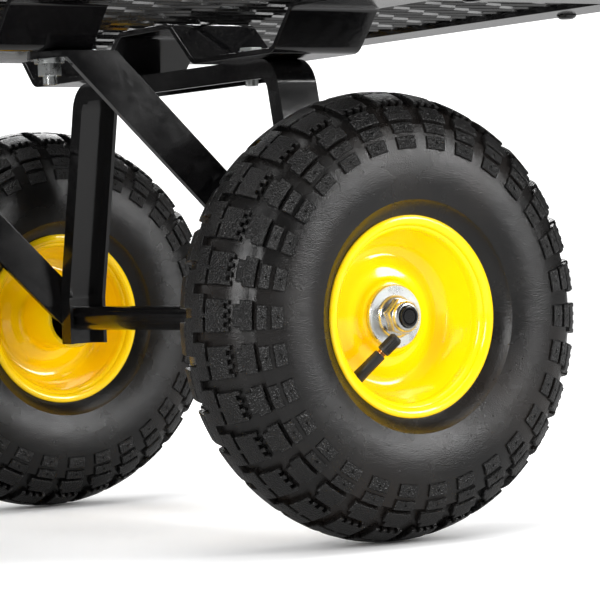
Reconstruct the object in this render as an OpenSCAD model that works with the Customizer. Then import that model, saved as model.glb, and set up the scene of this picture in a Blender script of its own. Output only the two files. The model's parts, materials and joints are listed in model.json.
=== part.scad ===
// Four-wheel garden cart: mesh bed, folding mesh sides, steered front wheels and a pull handle.
// X runs forwards, Y to the left and Z up. The origin is on the ground at the middle of the footprint.

/* [Bed] */
// Length of the bed over its rails
bed_l = 965; // [800:5:1160]
// Width of the bed over its rails
bed_w = 508; // [424:2:612]
// Width of the flat flange of each bed rail
rail_flange = 36; // [28:1:40]
// Height of each bed rail
rail_h = 40; // [34:1:50]
// Thickness of the rails and cross members
sheet_t = 3.5; // [2.5:0.5:5]
// Thickness of the mesh sheets
mesh_t = 1.5; // [1:0.5:3]

/* [Wheels] */
// Distance between the front and rear axles
wheelbase = 571; // [480:1:680]
// Distance between the wheels of one axle
track = 403; // [380:1:484]
// Outside diameter of the tyres
tyre_d = 260; // [220:1:312]
// Width of the tyres
tyre_w = 79; // [70:1:84]
// Wall thickness of the tyres
tyre_t = 7; // [5:0.5:8]
// Diameter of the rims over their lips
rim_d = 116; // [110:1:120]
// Width of the rims over their lips
rim_w = 61; // [56:1:64]
// Thickness of the rim steel
rim_t = 2.2; // [1.8:0.2:3]
// Diameter of the axle and of the spindles
axle_d = 16; // [13:0.5:19]
// Diameter of the wheel bearings
bearing_d = 35; // [32:1:40]
// Width of the wheel bearings
bearing_w = 11; // [8:1:12]
// How far the hub reaches inboard of the wheel's middle
hub_in = 44; // [42:1:48]
// How far the hub reaches outboard of the wheel's middle
hub_out = 9.5; // [8:0.5:12]

/* [Axle frames] */
// Height of the bed's underside pressings over the tyres
tyre_gap = 26.5; // [22:0.5:40]
// Width of the pressed channel of the axle frames
channel_w = 28; // [26:1:34]
// Depth of the channel's lips
channel_lip = 12; // [10:1:14]
// Thickness of the channel
channel_t = 2.5; // [2:0.5:3]
// How far each rear leg splays outwards
rear_splay = 30; // [20:1:36]
// Width of the diagonal braces
brace_w = 25; // [22:1:28]
// Thickness of the diagonal braces
brace_t = 4; // [3:0.5:5]
// Distance from an axle to the cross member that holds its braces
brace_run = 185; // [165:1:200]
// Width of the pressed cross members
member_w = 62; // [54:1:66]
// Depth of the pressing in the cross members
member_dip = 25; // [20:1:30]

/* [Steering] */
// Distance from a steering pivot forwards to the tie rod pin
arm_l = 75; // [65:1:85]
// Diameter of the kingpins and of the other pivot bolts
pivot_d = 12; // [10:0.5:14]
// Diameter of the tie rods
tie_d = 10; // [8:0.5:12]
// How far the tongue's pivot lies ahead of the bed
tongue_reach = 90; // [75:1:120]

/* [Panels] */
// Height of the mesh panels from the hinge bar to the top bar
panel_h = 235; // [180:5:300]
// Diameter of the panels' frame bars
bar_d = 12; // [10:0.5:14]
// Diameter of the latch bolts
latch_d = 8; // [6:0.5:9]
// Travel of the latch bolts
latch_travel = 16; // [14:1:18]

/* [Handle] */
// Length of the handle from its pivot to the grip
handle_l = 820; // [700:10:1000]
// Diameter of the handle tube
handle_d = 28; // [24:1:32]
// Width of the grip loop between the middles of its sides
loop_w = 140; // [120:2:170]
// Diameter of the grip
grip_d = 30; // [26:1:34]

/* [Hidden] */
$fn = 48;

// Clearances: round running fits, sliding posts, gaps between moving pieces, and cuts
running = 0.05;
sliding = 0.1;
gap = 0.3;
over = 1;

// Heights above the ground
hub_z = tyre_d / 2;
frame_top = hub_z + tyre_d / 2 + tyre_gap;
rail_z = frame_top + member_dip;
floor_z = rail_z + sheet_t;
rail_top = rail_z + rail_h;

// Panel bars and where they hinge
bar_r = bar_d / 2;
hinge_out = bar_r + 2;
hinge_z = rail_top - bar_r - 1;
side_y = bed_w / 2 + hinge_out;
end_x = bed_l / 2 + hinge_out;
side_half = bed_l / 2 - 10;
end_half = bed_w / 2 - 14;
panel_top = hinge_z + panel_h;
mesh_foot = bar_d + 2;
ear_r = bar_r + 5;
ear_t = 5;
ear_inset = 150;
latch_z = panel_top - 26;
latch_y = side_y + bar_r + latch_d / 2 + 3;
keeper_t = 4;
keeper_clear = 0.75;

// Handle, from its pivot
nose_r = 16;
pivot_x = bed_l / 2 + tongue_reach;
handle_clear = 6;

// The bed's middle, from the middle of the footprint
front_reach = pivot_x + nose_r;
rear_reach = end_x + ear_r;
bed_x = (rear_reach - front_reach) / 2;
rear_x = -wheelbase / 2;
front_x = wheelbase / 2;

// The upright handle leans back as far as it can and still clears the front panel at full steer
steer = 28;
handle_reach = pivot_x - front_x;
panel_reach = end_x + bar_r + handle_d / 2 + handle_clear - front_x;
handle_lean = atan((handle_reach - panel_reach / cos(steer)) / (panel_top - hub_z));

// Wheel and axle stack, outwards from the cart's middle
washer_t = 3;
washer_r = 18.5;
nut_af = 19;
nut_h = 12;
nut_flange = 3;
collar_r = nut_af / 2 - 0.5;
thread_end = 1.5;
hub_start = track / 2 - hub_in;
hub_end = track / 2 + hub_out;
leg_y = hub_start - gap - washer_t - brace_t;
axle_end = hub_end + gap + washer_t + nut_h + thread_end;
axle_r = axle_d / 2;
thread_r = 0.75 * axle_r;

// Axle frames
frame_half = leg_y - rear_splay;
corner_r = 20;
leg_foot = 17;
leg_straight = 15;
front_leg_y = leg_y - 50;
frame_bolt_y = frame_half - 46;
beam_h = 30;
beam_half = beam_h / 2;
beam_t = 3;
front_straight = 66;

// Cross members
low_out = track / 2 - tyre_w / 2 - 18;
slope_run = 22;
low_in = 56;
rise_run = 26;
bolt_back = 11;
member_end = bed_w / 2 - rail_flange;

// Steering
pivot_r = pivot_d / 2;
plate_t = 5;
plate_z = beam_half + 0.5;
sleeve_r = pivot_r + 7;
web_y = hub_start - gap - 5.5;
king_y = web_y - plate_t - sleeve_r - 1.5;
arm_out = 8;
arm_r = tie_d / 2 + 5;
tie_r = tie_d / 2;
tie_drop = tie_d + 2;
tongue_w = 31;

// Bolts
bolt_d = 8;
bolt_af = 13;
bolt_head = 5.5;
bolt_nut = 7;
screw_r = 6.5;

function unit(v) = v / norm(v);
function normal(a, b) = let (u = unit(b - a)) [-u.y, u.x];
function backwards(list) = [for (i = [len(list) - 1:-1:0]) list[i]];

// The arc of radius r that rounds the corner p1 between p0 and p2
function corner_arc(p0, p1, p2, r, n) =
    let (
        a = unit(p0 - p1),
        b = unit(p2 - p1),
        half = acos(a * b) / 2,
        centre = p1 + unit(a + b) * r / sin(half),
        from = p1 + a * r / tan(half) - centre,
        to = p1 + b * r / tan(half) - centre,
        start = atan2(from.y, from.x),
        sweep = (atan2(to.y, to.x) - start + 540) % 360 - 180
    )
    [for (i = [0:n]) centre + r * [cos(start + sweep * i / n), sin(start + sweep * i / n)]];

// An open path with every inner corner rounded
function rounded(path, r, n = 6) =
    let (last = len(path) - 1)
    concat(
        [path[0]],
        [for (i = [1:last - 1]) each corner_arc(path[i - 1], path[i], path[i + 1], r, n)],
        [path[last]]
    );

// A path moved sideways by d
function shifted(path, d) =
    let (last = len(path) - 1)
    [for (i = [0:last])
        let (
            n0 = i > 0 ? normal(path[i - 1], path[i]) : normal(path[0], path[1]),
            n1 = i < last ? normal(path[i], path[i + 1]) : n0,
            m = unit(n0 + n1)
        )
        path[i] + m * d / (m * n0)];

// The outline of a sheet of thickness t whose middle follows a path
function ribbon(path, t) = concat(shifted(path, t / 2), backwards(shifted(path, -t / 2)));

// A half path in Y mirrored about the middle plane, from right to left
function both_sides(half) = concat([for (p = half) [-p.x, p.y]], backwards(half));

module on_side(side) {
    if (side > 0) children();
    else mirror([0, 1, 0]) children();
}

module on_end(end) {
    if (end > 0) children();
    else mirror([1, 0, 0]) children();
}

// Everything but the ground point is placed from the bed's middle
module in_cart(x = 0, z = 0) translate([bed_x + x, 0, z]) children();

// A shape drawn in Y and Z, extruded along X
module along_x(w) rotate([90, 0, 90]) linear_extrude(w, center = true) children();

// A shape drawn in X and Z, extruded along Y
module along_y(w) rotate([90, 0, 0]) linear_extrude(w, center = true) children();

module tube_y(r, from, to) translate([0, from, 0]) rotate([-90, 0, 0]) cylinder(r = r, h = to - from);

module bar(from, to, r) {
    v = to - from;
    translate(from)
        rotate([0, acos(v.z / norm(v)), atan2(v.y, v.x)])
            cylinder(r = r, h = norm(v));
}

module hexagon(af, h) cylinder(d = af / cos(30), h = h, $fn = 6);

// Wheels, drawn about Z with the outboard side up

module at_wheel(x, side) {
    in_cart(x, hub_z) on_side(side) translate([0, track / 2, 0]) rotate([-90, 0, 0]) children();
}

module tyre() {
    bead = rim_d / 2 - 7.5;
    bead_z = rim_w / 2 - rim_t - 0.3 - tyre_t / 2;
    side_z = tyre_w / 2 - tyre_t / 2;
    crown = tyre_d / 2 - tyre_t / 2;
    half = [
        [bead, bead_z], [bead + 16, bead_z], [bead + 24, side_z], [crown - 22, side_z],
        [crown - 6, side_z - 8], [crown, side_z - 22]
    ];
    path = rounded(concat(half, [for (p = backwards(half)) [p.x, -p.y]]), 6);
    color("#1c1c1d") rotate_extrude($fn = 96) polygon(ribbon(path, tyre_t));
}

module rim() {
    lip = rim_d / 2;
    lip_z = rim_w / 2 - rim_t / 2;
    seat = lip - 9;
    hub_r = bearing_d / 2 + 2.5;
    disc_z = 7;
    path = rounded([[lip, -lip_z], [seat, -lip_z], [seat, lip_z], [lip, lip_z]], 2);
    color("#f2c500") difference() {
        rotate_extrude($fn = 96) {
            polygon(ribbon(path, rim_t));
            for (z = [-disc_z, disc_z])
                polygon(ribbon([[seat, 1.3 * z], [seat - 12, z], [hub_r - 1, z]], rim_t));
            translate([bearing_d / 2, -hub_in]) square([hub_r - bearing_d / 2, hub_in + hub_out]);
        }
        valve_place() cylinder(r = 4.4, h = 3 * rim_t, center = true);
    }
}

module bearings() {
    color("#8b8d90") for (z = [-hub_in, hub_out - bearing_w])
        translate([0, 0, z]) difference() {
            cylinder(d = bearing_d, h = bearing_w);
            translate([0, 0, -over]) cylinder(r = axle_r + running, h = bearing_w + 2 * over);
        }
}

// The valve's seat in the rim, with Z pointing in towards the hub and X outboard
valve_turn = 48;
valve_seat_z = 13;
valve_lean = 23;
valve_l = 37;
cap_l = 12;

module valve_place() {
    rotate([0, 0, valve_turn]) translate([rim_d / 2 - 9, 0, valve_seat_z]) rotate([0, -90, 0]) children();
}

module valve() {
    color("#202021") valve_place() {
        translate([0, 0, -rim_t - 2.5]) cylinder(r = 6, h = 2);
        translate([0, 0, -rim_t - 1]) cylinder(r = 4.3, h = 7);
        rotate([0, valve_lean, 0]) cylinder(r = 3.2, h = valve_l - 2);
        rotate([0, valve_lean, 0]) translate([0, 0, valve_l - cap_l]) cylinder(r = 4.2, h = cap_l);
    }
}

module tyre_rear_left() at_wheel(rear_x, 1) tyre();
module tyre_rear_right() at_wheel(rear_x, -1) tyre();
module tyre_front_left() at_wheel(front_x, 1) tyre();
module tyre_front_right() at_wheel(front_x, -1) tyre();
module rim_rear_left() at_wheel(rear_x, 1) rim();
module rim_rear_right() at_wheel(rear_x, -1) rim();
module rim_front_left() at_wheel(front_x, 1) rim();
module rim_front_right() at_wheel(front_x, -1) rim();
module bearings_rear_left() at_wheel(rear_x, 1) bearings();
module bearings_rear_right() at_wheel(rear_x, -1) bearings();
module bearings_front_left() at_wheel(front_x, 1) bearings();
module bearings_front_right() at_wheel(front_x, -1) bearings();
module valve_rear_left() at_wheel(rear_x, 1) valve();
module valve_rear_right() at_wheel(rear_x, -1) valve();
module valve_front_left() at_wheel(front_x, 1) valve();
module valve_front_right() at_wheel(front_x, -1) valve();

// The washer, flange nut and thread stack on one axle end, along +Y from the hub
module wheel_nut() {
    color("#b9bcc0") difference() {
        translate([0, hub_end + gap, 0]) rotate([-90, 0, 0]) {
            cylinder(r = washer_r, h = washer_t);
            translate([0, 0, washer_t])
                cylinder(r1 = nut_af / 2 + nut_flange, r2 = (nut_af + nut_flange) / 2, h = nut_flange);
            translate([0, 0, washer_t]) hexagon(nut_af, nut_h - nut_flange);
            translate([0, 0, washer_t]) cylinder(r = collar_r, h = nut_h);
        }
        tube_y(thread_r, hub_end, axle_end + over);
    }
}

// Bed

module rail_section() {
    square([rail_flange, sheet_t]);
    square([sheet_t, rail_h]);
}

module ear() {
    difference() {
        union() {
            circle(r = ear_r);
            translate([-hinge_out, -ear_r]) square([hinge_out, 2 * ear_r]);
        }
        circle(r = bar_r + running);
    }
}

module side_rail(side) {
    on_side(side) in_cart() {
        difference() {
            translate([0, bed_w / 2, rail_z]) mirror([0, 1, 0]) along_x(bed_l) rail_section();
            for (x = [-1, 1]) translate([x * (bed_l / 2 - ear_inset), bed_w / 2 - rail_flange / 2, 0])
                cylinder(r = 3.2, h = floor_z + over);
        }
        for (x = [-1, -1 / 3, 1 / 3, 1])
            translate([x * (bed_l / 2 - ear_inset), side_y, hinge_z]) along_x(ear_t) ear();
    }
}

// Mount holes for a tie bar or a hook on the rear rail
rail_hole_y = 120;
rail_hole_r = 4.25;
screw_y = 150;

module end_rail(end) {
    wide = bed_w - 2 * sheet_t;
    between = bed_w - 2 * rail_flange;
    in_cart() on_end(end) difference() {
        union() {
            translate([bed_l / 2 - rail_flange, -between / 2, rail_z]) cube([rail_flange, between, sheet_t]);
            translate([bed_l / 2 - sheet_t, -wide / 2, floor_z]) cube([sheet_t, wide, rail_h - sheet_t]);
            children();
        }
        for (y = [-1, 1]) {
            translate([bed_l / 2 - 8, y * screw_y, 0]) cylinder(r = 3.2, h = floor_z + over);
            translate([bed_l / 2 - 2 * sheet_t, y * rail_hole_y, floor_z + 12])
                rotate([0, 90, 0]) cylinder(r = rail_hole_r, h = 4 * sheet_t);
        }
    }
}

// The post sockets that hold the front panel
socket_r = bar_r + 3.5;
socket_top = hinge_z - bar_r - gap;

module socket(y) {
    translate([end_x, y, rail_z]) difference() {
        union() {
            cylinder(r = socket_r, h = socket_top - rail_z);
            translate([-hinge_out - sheet_t / 2, -socket_r, 0])
                cube([hinge_out + sheet_t / 2, 2 * socket_r, socket_top - rail_z]);
        }
        translate([0, 0, 3]) cylinder(r = bar_r + sliding, h = rail_h);
        translate([gap - 2 * hinge_out, -socket_r - over, -over])
            cube([hinge_out, 2 * (socket_r + over), sheet_t + over]);
    }
}

module bed_rail_left() color("#17181a") side_rail(1);
module bed_rail_right() color("#17181a") side_rail(-1);
module bed_rail_front() color("#17181a") end_rail(1) for (y = [-1, 1]) socket(y * end_half);
module bed_rail_rear() color("#17181a") end_rail(-1)
    for (y = [-1, 1]) translate([end_x, y * (end_half - 60), hinge_z]) rotate([90, 0, 0])
        linear_extrude(ear_t, center = true) ear();

module bed_mesh() {
    l = bed_l - 2 * sheet_t - 2;
    w = bed_w - 2 * sheet_t - 2;
    color("#232426") in_cart() translate([-l / 2, -w / 2, floor_z]) cube([l, w, mesh_t]);
}

module button_screw() {
    translate([0, 0, -2.6]) {
        cylinder(r1 = screw_r - 2.5, r2 = screw_r - 0.8, h = 1.2);
        translate([0, 0, 1.2]) cylinder(r1 = screw_r - 0.8, r2 = screw_r, h = 1.4);
    }
    cylinder(r = 3, h = sheet_t);
}

module bed_screws() {
    color("#2b2c2e") in_cart(0, rail_z) {
        for (x = [-1, 1], y = [-1, 1]) {
            translate([x * (bed_l / 2 - 8), y * screw_y, 0]) button_screw();
            translate([x * (bed_l / 2 - ear_inset), y * (bed_w / 2 - rail_flange / 2), 0]) button_screw();
        }
    }
}

// A pressed cross member: high at the rails and in the middle, low where it carries the frames
module cross_member(x, hole_x, hole_y) {
    half = [
        [member_end, member_dip], [low_out + slope_run, member_dip], [low_out, 0],
        [low_in, 0], [low_in - rise_run, member_dip - 1]
    ];
    path = rounded(both_sides(half), 9, 5);
    color("#17181a") in_cart(x, frame_top + sheet_t / 2) difference() {
        along_x(member_w) polygon(ribbon(path, sheet_t));
        for (y = [-1, 1]) translate([hole_x, y * hole_y, 0]) bolt_hole();
    }
}

module bolt_hole() cylinder(d = bolt_d + 0.6, h = 30, center = true);

module cross_member_rear() cross_member(rear_x, 0, frame_bolt_y);
module cross_member_mid_rear()
    cross_member(rear_x + brace_run, -bolt_back, brace_bolt_y(leg_y));
module cross_member_mid_front()
    cross_member(front_x - brace_run, bolt_back, brace_bolt_y(front_leg_y));
module cross_member_front() cross_member(front_x, 0, frame_bolt_y);

// Axle frames

// The outer face of a frame in Y and Z from the hub's height, up one leg, across and down
function frame_path(foot_y, foot_z, straight) =
    let (
        top = frame_top - hub_z,
        half = [[foot_y, foot_z], [foot_y, straight], [frame_half, top]]
    )
    concat([for (p = half) [-p.x, p.y]], backwards(half));

module axle_channel(foot_y, foot_z, straight) {
    outer = rounded(frame_path(foot_y, foot_z, straight), corner_r, 8);
    web = concat(outer, backwards(shifted(outer, -channel_t)));
    lips = concat(outer, backwards(shifted(outer, -channel_lip)));
    along_x(channel_w) polygon(web);
    for (x = [-1, 1]) translate([x * (channel_w - channel_t) / 2, 0, 0]) along_x(channel_t) polygon(lips);
}

module rear_axle_frame() {
    color("#17181a") in_cart(rear_x, hub_z) difference() {
        axle_channel(leg_y, -leg_foot, leg_straight);
        tube_y(axle_r + sliding, -track / 2, track / 2);
        for (y = [-1, 1]) translate([0, y * frame_bolt_y, frame_top - hub_z]) bolt_hole();
    }
}

module rear_axle() {
    color("#1b1c1e") in_cart(rear_x, hub_z) {
        tube_y(axle_r, -hub_end - gap, hub_end + gap);
        tube_y(thread_r, -axle_end, axle_end);
    }
}

module rear_axle_nuts() {
    color("#b9bcc0") in_cart(rear_x, hub_z) for (side = [-1, 1]) on_side(side) {
        wheel_nut();
        difference() {
            tube_y(washer_r, hub_start - gap - washer_t, hub_start - gap);
            tube_y(axle_r, 0, track / 2);
        }
    }
}

front_bolt_z = 33;

module front_axle_frame() {
    color("#17181a") in_cart(front_x, hub_z) difference() {
        union() {
            axle_channel(front_leg_y, beam_half, front_straight);
            difference() {
                translate([-beam_half, -king_y, -beam_half]) cube([beam_h, 2 * king_y, beam_h]);
                translate([-beam_half + beam_t, -king_y - over, -beam_half + beam_t])
                    cube([beam_h - 2 * beam_t, 2 * (king_y + over), beam_h - 2 * beam_t]);
                for (y = [-1, 1]) translate([0, y * king_y, 0])
                    cube([beam_h + over, 2 * (sleeve_r - 1), beam_h + over], center = true);
            }
            for (y = [-1, 0, 1]) translate([0, y * king_y, -beam_half]) cylinder(r = sleeve_r, h = beam_h);
        }
        for (y = [-1, 0, 1])
            translate([0, y * king_y, 0]) cylinder(r = pivot_r + running, h = 2 * beam_h, center = true);
        for (y = [-1, 1]) translate([0, y * frame_bolt_y, frame_top - hub_z]) bolt_hole();
        translate([0, 0, front_bolt_z]) rotate([90, 0, 0])
            cylinder(d = bolt_d + 0.6, h = track, center = true);
    }
}

// Braces: a flat bar beside the leg, bent at its head to lie under a cross member

function brace_bolt_y(foot_y) = foot_y + brace_t / 2 - 20;
brace_bolt_x = brace_run - bolt_back;

module brace(foot_y, foot_z, hole_r) {
    head_z = frame_top - hub_z;
    rise = head_z - foot_z;
    bend_x = brace_run - 24;
    slope = atan(rise / bend_x);
    half_cut = brace_w / 2 / sin(slope);
    foot_r = brace_w / 2;
    edge = foot_r - 0.3;
    bolt_y = brace_bolt_y(foot_y);
    translate([0, foot_y + brace_t / 2, 0]) difference() {
        along_y(brace_t) {
            translate([0, foot_z]) circle(r = foot_r);
            polygon([
                [edge * sin(slope), foot_z - edge * cos(slope)], [bend_x + half_cut, head_z],
                [bend_x - half_cut, head_z], [-edge * sin(slope), foot_z + edge * cos(slope)]
            ]);
        }
        translate([0, 0, foot_z]) rotate([90, 0, 0])
            cylinder(r = hole_r, h = 4 * brace_t, center = true);
    }
    translate([0, 0, head_z - brace_t]) linear_extrude(brace_t) difference() {
        union() {
            polygon([
                [bend_x - half_cut, foot_y + brace_t], [bend_x + half_cut, foot_y + brace_t],
                [brace_bolt_x + foot_r, bolt_y], [brace_bolt_x, bolt_y - foot_r],
                [brace_bolt_x - foot_r, bolt_y - foot_r / 4]
            ]);
            translate([brace_bolt_x, bolt_y]) circle(r = foot_r);
        }
        translate([brace_bolt_x, bolt_y]) circle(d = bolt_d + 0.6);
    }
}

module rear_brace(side) color("#17181a") in_cart(rear_x, hub_z) on_side(side)
    brace(leg_y, 0, axle_r + sliding);
module front_brace(side) color("#17181a") in_cart(front_x, hub_z) on_end(-1) on_side(side)
    brace(front_leg_y, front_bolt_z, bolt_d / 2 + 0.3);

module rear_brace_left() rear_brace(1);
module rear_brace_right() rear_brace(-1);
module front_brace_left() front_brace(1);
module front_brace_right() front_brace(-1);

// A bolt along Z: head on top of a stack of the given thickness, whose top is at zero, nut below
module bolt(stack, nut = bolt_nut) {
    difference() {
        translate([0, 0, -stack - nut]) hexagon(bolt_af, nut);
        translate([0, 0, -stack - nut - over]) cylinder(d = bolt_d, h = nut + 2 * over);
    }
    hexagon(bolt_af, bolt_head);
    translate([0, 0, -stack - nut - 5]) cylinder(d = bolt_d, h = stack + nut + 5);
}

module frame_bolts() {
    color("#b9bcc0") in_cart(0, frame_top + sheet_t) for (x = [rear_x, front_x], y = [-1, 1])
        translate([x, y * frame_bolt_y, 0]) bolt(sheet_t + channel_t);
}

module brace_bolts() {
    spring_washer = 2;
    color("#b9bcc0") in_cart() for (side = [-1, 1]) on_side(side) {
        for (spot = [[rear_x + brace_bolt_x, leg_y], [front_x - brace_bolt_x, front_leg_y]])
            translate([spot.x, brace_bolt_y(spot.y), frame_top + sheet_t]) {
                bolt(sheet_t + brace_t + spring_washer);
                difference() {
                    translate([0, 0, -sheet_t - brace_t - spring_washer])
                        cylinder(r = 8.5, h = spring_washer);
                    translate([0, 0, -2 * (sheet_t + brace_t)])
                        cylinder(d = bolt_d, h = 2 * (brace_t + sheet_t));
                }
            }
        translate([front_x, front_leg_y + brace_t, hub_z + front_bolt_z]) rotate([-90, 0, 0])
            bolt(brace_t + channel_t, 7);
    }
}

// Steering

module steering_pivots() {
    stack = 2 * (plate_z + plate_t);
    color("#b9bcc0") in_cart(front_x, hub_z) for (y = [-1, 0, 1]) translate([0, y * king_y, 0]) {
        translate([0, 0, -stack / 2 - 14]) cylinder(r = pivot_r, h = stack + 14 + gap);
        translate([0, 0, stack / 2 + gap]) hexagon(19, 7.5);
        translate([0, 0, -stack / 2 - 11]) difference() {
            hexagon(19, 11 - gap);
            translate([0, 0, -over]) cylinder(r = pivot_r, h = 11 + 2 * over);
        }
    }
}

module pivot_plate(reach) {
    difference() {
        union() {
            circle(r = sleeve_r + 2);
            translate([-sleeve_r - 2, 0]) square([2 * (sleeve_r + 2), reach]);
        }
        circle(r = pivot_r + running);
    }
}

// Drawn with its kingpin at the origin; the wheel is on +Y and the arm points forwards
module knuckle() {
    web_in = web_y - king_y - plate_t;
    for (z = [plate_z, -plate_z - plate_t])
        translate([0, 0, z]) linear_extrude(plate_t) pivot_plate(web_in + plate_t);
    translate([-sleeve_r - 2, web_in, -plate_z]) cube([2 * (sleeve_r + 2), plate_t, 2 * plate_z]);
    translate([0, 0, -plate_z - plate_t]) linear_extrude(plate_t) difference() {
        union() {
            translate([0, -sleeve_r]) square([arm_l - 14, sleeve_r + web_in]);
            polygon([
                [arm_l - 16, -sleeve_r], [arm_l - 16, web_in],
                [arm_l, arm_out + arm_r], [arm_l, arm_out - arm_r]
            ]);
            translate([arm_l, arm_out]) circle(r = arm_r);
        }
        translate([arm_l, arm_out]) circle(r = tie_r + running);
        circle(r = pivot_r + running);
    }
    tube_y(axle_r, web_in + plate_t, hub_end + gap - king_y);
    tube_y(thread_r, web_in + plate_t, axle_end - king_y);
    tube_y(axle_r + 3, web_in + plate_t, hub_start - gap - king_y);
}

module knuckle_at(side) in_cart(front_x, hub_z) on_side(side) translate([0, king_y, 0]) children();
module knuckle_left() color("#1b1c1e") knuckle_at(1) knuckle();
module knuckle_right() color("#1b1c1e") knuckle_at(-1) knuckle();
module spindle_nuts_left() in_cart(front_x, hub_z) wheel_nut();
module spindle_nuts_right() in_cart(front_x, hub_z) on_side(-1) wheel_nut();

module tie_rod(side) {
    rod_z = -plate_z - plate_t - tie_drop / 2;
    pin_top = -plate_z + 2;
    color("#26272a") in_cart(front_x + arm_l, hub_z) on_side(side) {
        for (y = [arm_out, king_y + arm_out])
            translate([0, y, rod_z]) {
                cylinder(r = tie_r, h = pin_top - rod_z);
                sphere(r = tie_r);
            }
        translate([0, 0, rod_z]) tube_y(tie_r, arm_out, king_y + arm_out);
    }
}

module tie_rod_left() tie_rod(1);
module tie_rod_right() tie_rod(-1);

tow_r = 7;
tow_x = pivot_x - 45;

module tongue() {
    start_x = arm_l + 18;
    reach = pivot_x - front_x;
    half = tongue_w / 2;
    color("#1b1c1e") in_cart(front_x, hub_z) difference() {
        union() {
            difference() {
                translate([start_x, -half, -half]) cube([reach - start_x, tongue_w, tongue_w]);
                translate([start_x - over, -half + beam_t, -half + beam_t])
                    cube([reach - start_x + 2 * over, tongue_w - 2 * beam_t, tongue_w - 2 * beam_t]);
            }
            for (y = [-1, 1]) translate([reach, y * (half - beam_t / 2), 0]) along_y(beam_t) {
                circle(r = half);
            }
            for (z = [plate_z, -plate_z - plate_t]) translate([0, 0, z]) linear_extrude(plate_t) {
                circle(r = sleeve_r + 2);
                translate([0, -sleeve_r - 2]) square([start_x + 20, 2 * (sleeve_r + 2)]);
                if (z < 0) translate([arm_l - arm_r, -arm_out - arm_r])
                    square([2 * arm_r, 2 * (arm_out + arm_r)]);
            }
        }
        cylinder(r = pivot_r + running, h = 4 * beam_h, center = true);
        for (y = [-1, 1]) translate([arm_l, y * arm_out, -2 * plate_z])
            cylinder(r = tie_r + running, h = 2 * plate_z);
        translate([reach, 0, 0]) rotate([90, 0, 0])
            cylinder(r = pivot_r + running, h = 2 * tongue_w, center = true);
        translate([tow_x - front_x, 0, 0]) cylinder(r = tow_r, h = 2 * tongue_w, center = true);
    }
}

// Handle, drawn with its pivot at the origin and its tube along Z

yoke_in = tongue_w / 2 + gap + 0.2;
yoke_t = 4;
yoke_h = 46;
loop_h = 105;
loop_r = 10;
tube_top = handle_l - loop_h;

module at_handle() in_cart(pivot_x, hub_z) rotate([0, -handle_lean, 0]) children();

module handle_tube() {
    r = handle_d / 2;
    color("#17181a") at_handle() difference() {
        union() {
            for (y = [-1, 1]) translate([0, y * (yoke_in + yoke_t / 2), 0]) along_y(yoke_t) {
                circle(r = nose_r);
                translate([-nose_r, 0]) square([2 * nose_r, yoke_h]);
            }
            translate([-nose_r, -yoke_in - yoke_t, yoke_h - yoke_t])
                cube([2 * nose_r, 2 * (yoke_in + yoke_t), yoke_t]);
            translate([0, 0, yoke_h - yoke_t]) cylinder(r = r, h = tube_top - yoke_h + yoke_t);
        }
        translate([0, 0, yoke_h - yoke_t - over]) cylinder(r = r - 2, h = tube_top);
        rotate([90, 0, 0]) cylinder(r = pivot_r + running, h = 3 * tongue_w, center = true);
    }
}

// The grip loop: a plug in the tube, two spreading sides and the bar under the grip
module handle_loop() {
    spread = 46;
    color("#17181a") at_handle() {
        translate([0, 0, tube_top - 60]) cylinder(r = handle_d / 2 - 2, h = 62);
        translate([0, 0, tube_top]) cylinder(r = handle_d / 2 + 1, h = 14);
        for (y = [-1, 1]) {
            bar([0, y * 4, tube_top + 8], [0, y * loop_w / 2, tube_top + spread], loop_r);
            bar([0, y * loop_w / 2, tube_top + spread], [0, y * loop_w / 2, handle_l], loop_r);
            for (z = [tube_top + spread, handle_l])
                translate([0, y * loop_w / 2, z]) sphere(r = loop_r + 0.5);
        }
        translate([0, 0, handle_l]) tube_y(loop_r, -loop_w / 2, loop_w / 2);
    }
}

module handle_grip() {
    half = loop_w / 2 - loop_r - 6;
    color("#101011") at_handle() translate([0, 0, handle_l]) difference() {
        tube_y(grip_d / 2, -half, half);
        tube_y(loop_r, -half - over, half + over);
    }
}

module handle_pin() {
    half = yoke_in + yoke_t + gap;
    color("#b9bcc0") in_cart(pivot_x, hub_z) {
        tube_y(pivot_r, -half - 13, half);
        translate([0, half, 0]) rotate([-90, 0, 0]) hexagon(19, 7.5);
        translate([0, -half - 11, 0]) rotate([-90, 0, 0]) difference() {
            hexagon(19, 11);
            translate([0, 0, -over]) cylinder(r = pivot_r, h = 11 + 2 * over);
        }
    }
}

// Panels, drawn in X and Z about the hinge bar

module panel_bars(half, uprights, foot = 0) {
    for (z = [0, panel_h]) {
        bar([-half, 0, z], [half, 0, z], bar_r);
        for (x = [-half, half]) translate([x, 0, z]) sphere(r = bar_r);
    }
    for (x = uprights) bar([x, 0, 0], [x, 0, panel_h], bar_r);
    if (foot > 0) for (x = [-half, half]) bar([x, 0, 0], [x, 0, -foot], bar_r);
}

latch_guides = [10, 44];
guide_t = 4;

module latch_holder() {
    plate_l = 62;
    hold = latch_y - side_y;
    r = latch_d / 2;
    difference() {
        union() {
            translate([side_half - plate_l, bar_r - 1.5, latch_z - hinge_z - 12])
                cube([plate_l + bar_r, 3.5, 24]);
            for (g = latch_guides) translate([side_half - g, hold, latch_z - hinge_z]) along_x(guide_t) {
                circle(r = r + 3);
                translate([-hold + bar_r, -r - 3]) square([hold - bar_r, 2 * (r + 3)]);
            }
        }
        translate([0, hold, latch_z - hinge_z]) rotate([0, 90, 0]) cylinder(r = r + running, h = bed_l);
    }
}

module side_frame(side) {
    color("#17181a") in_cart(0, hinge_z) on_side(side) translate([0, side_y, 0]) {
        panel_bars(side_half, [-side_half, 0, side_half]);
        for (end = [-1, 1]) on_end(end) latch_holder();
    }
}

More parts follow.
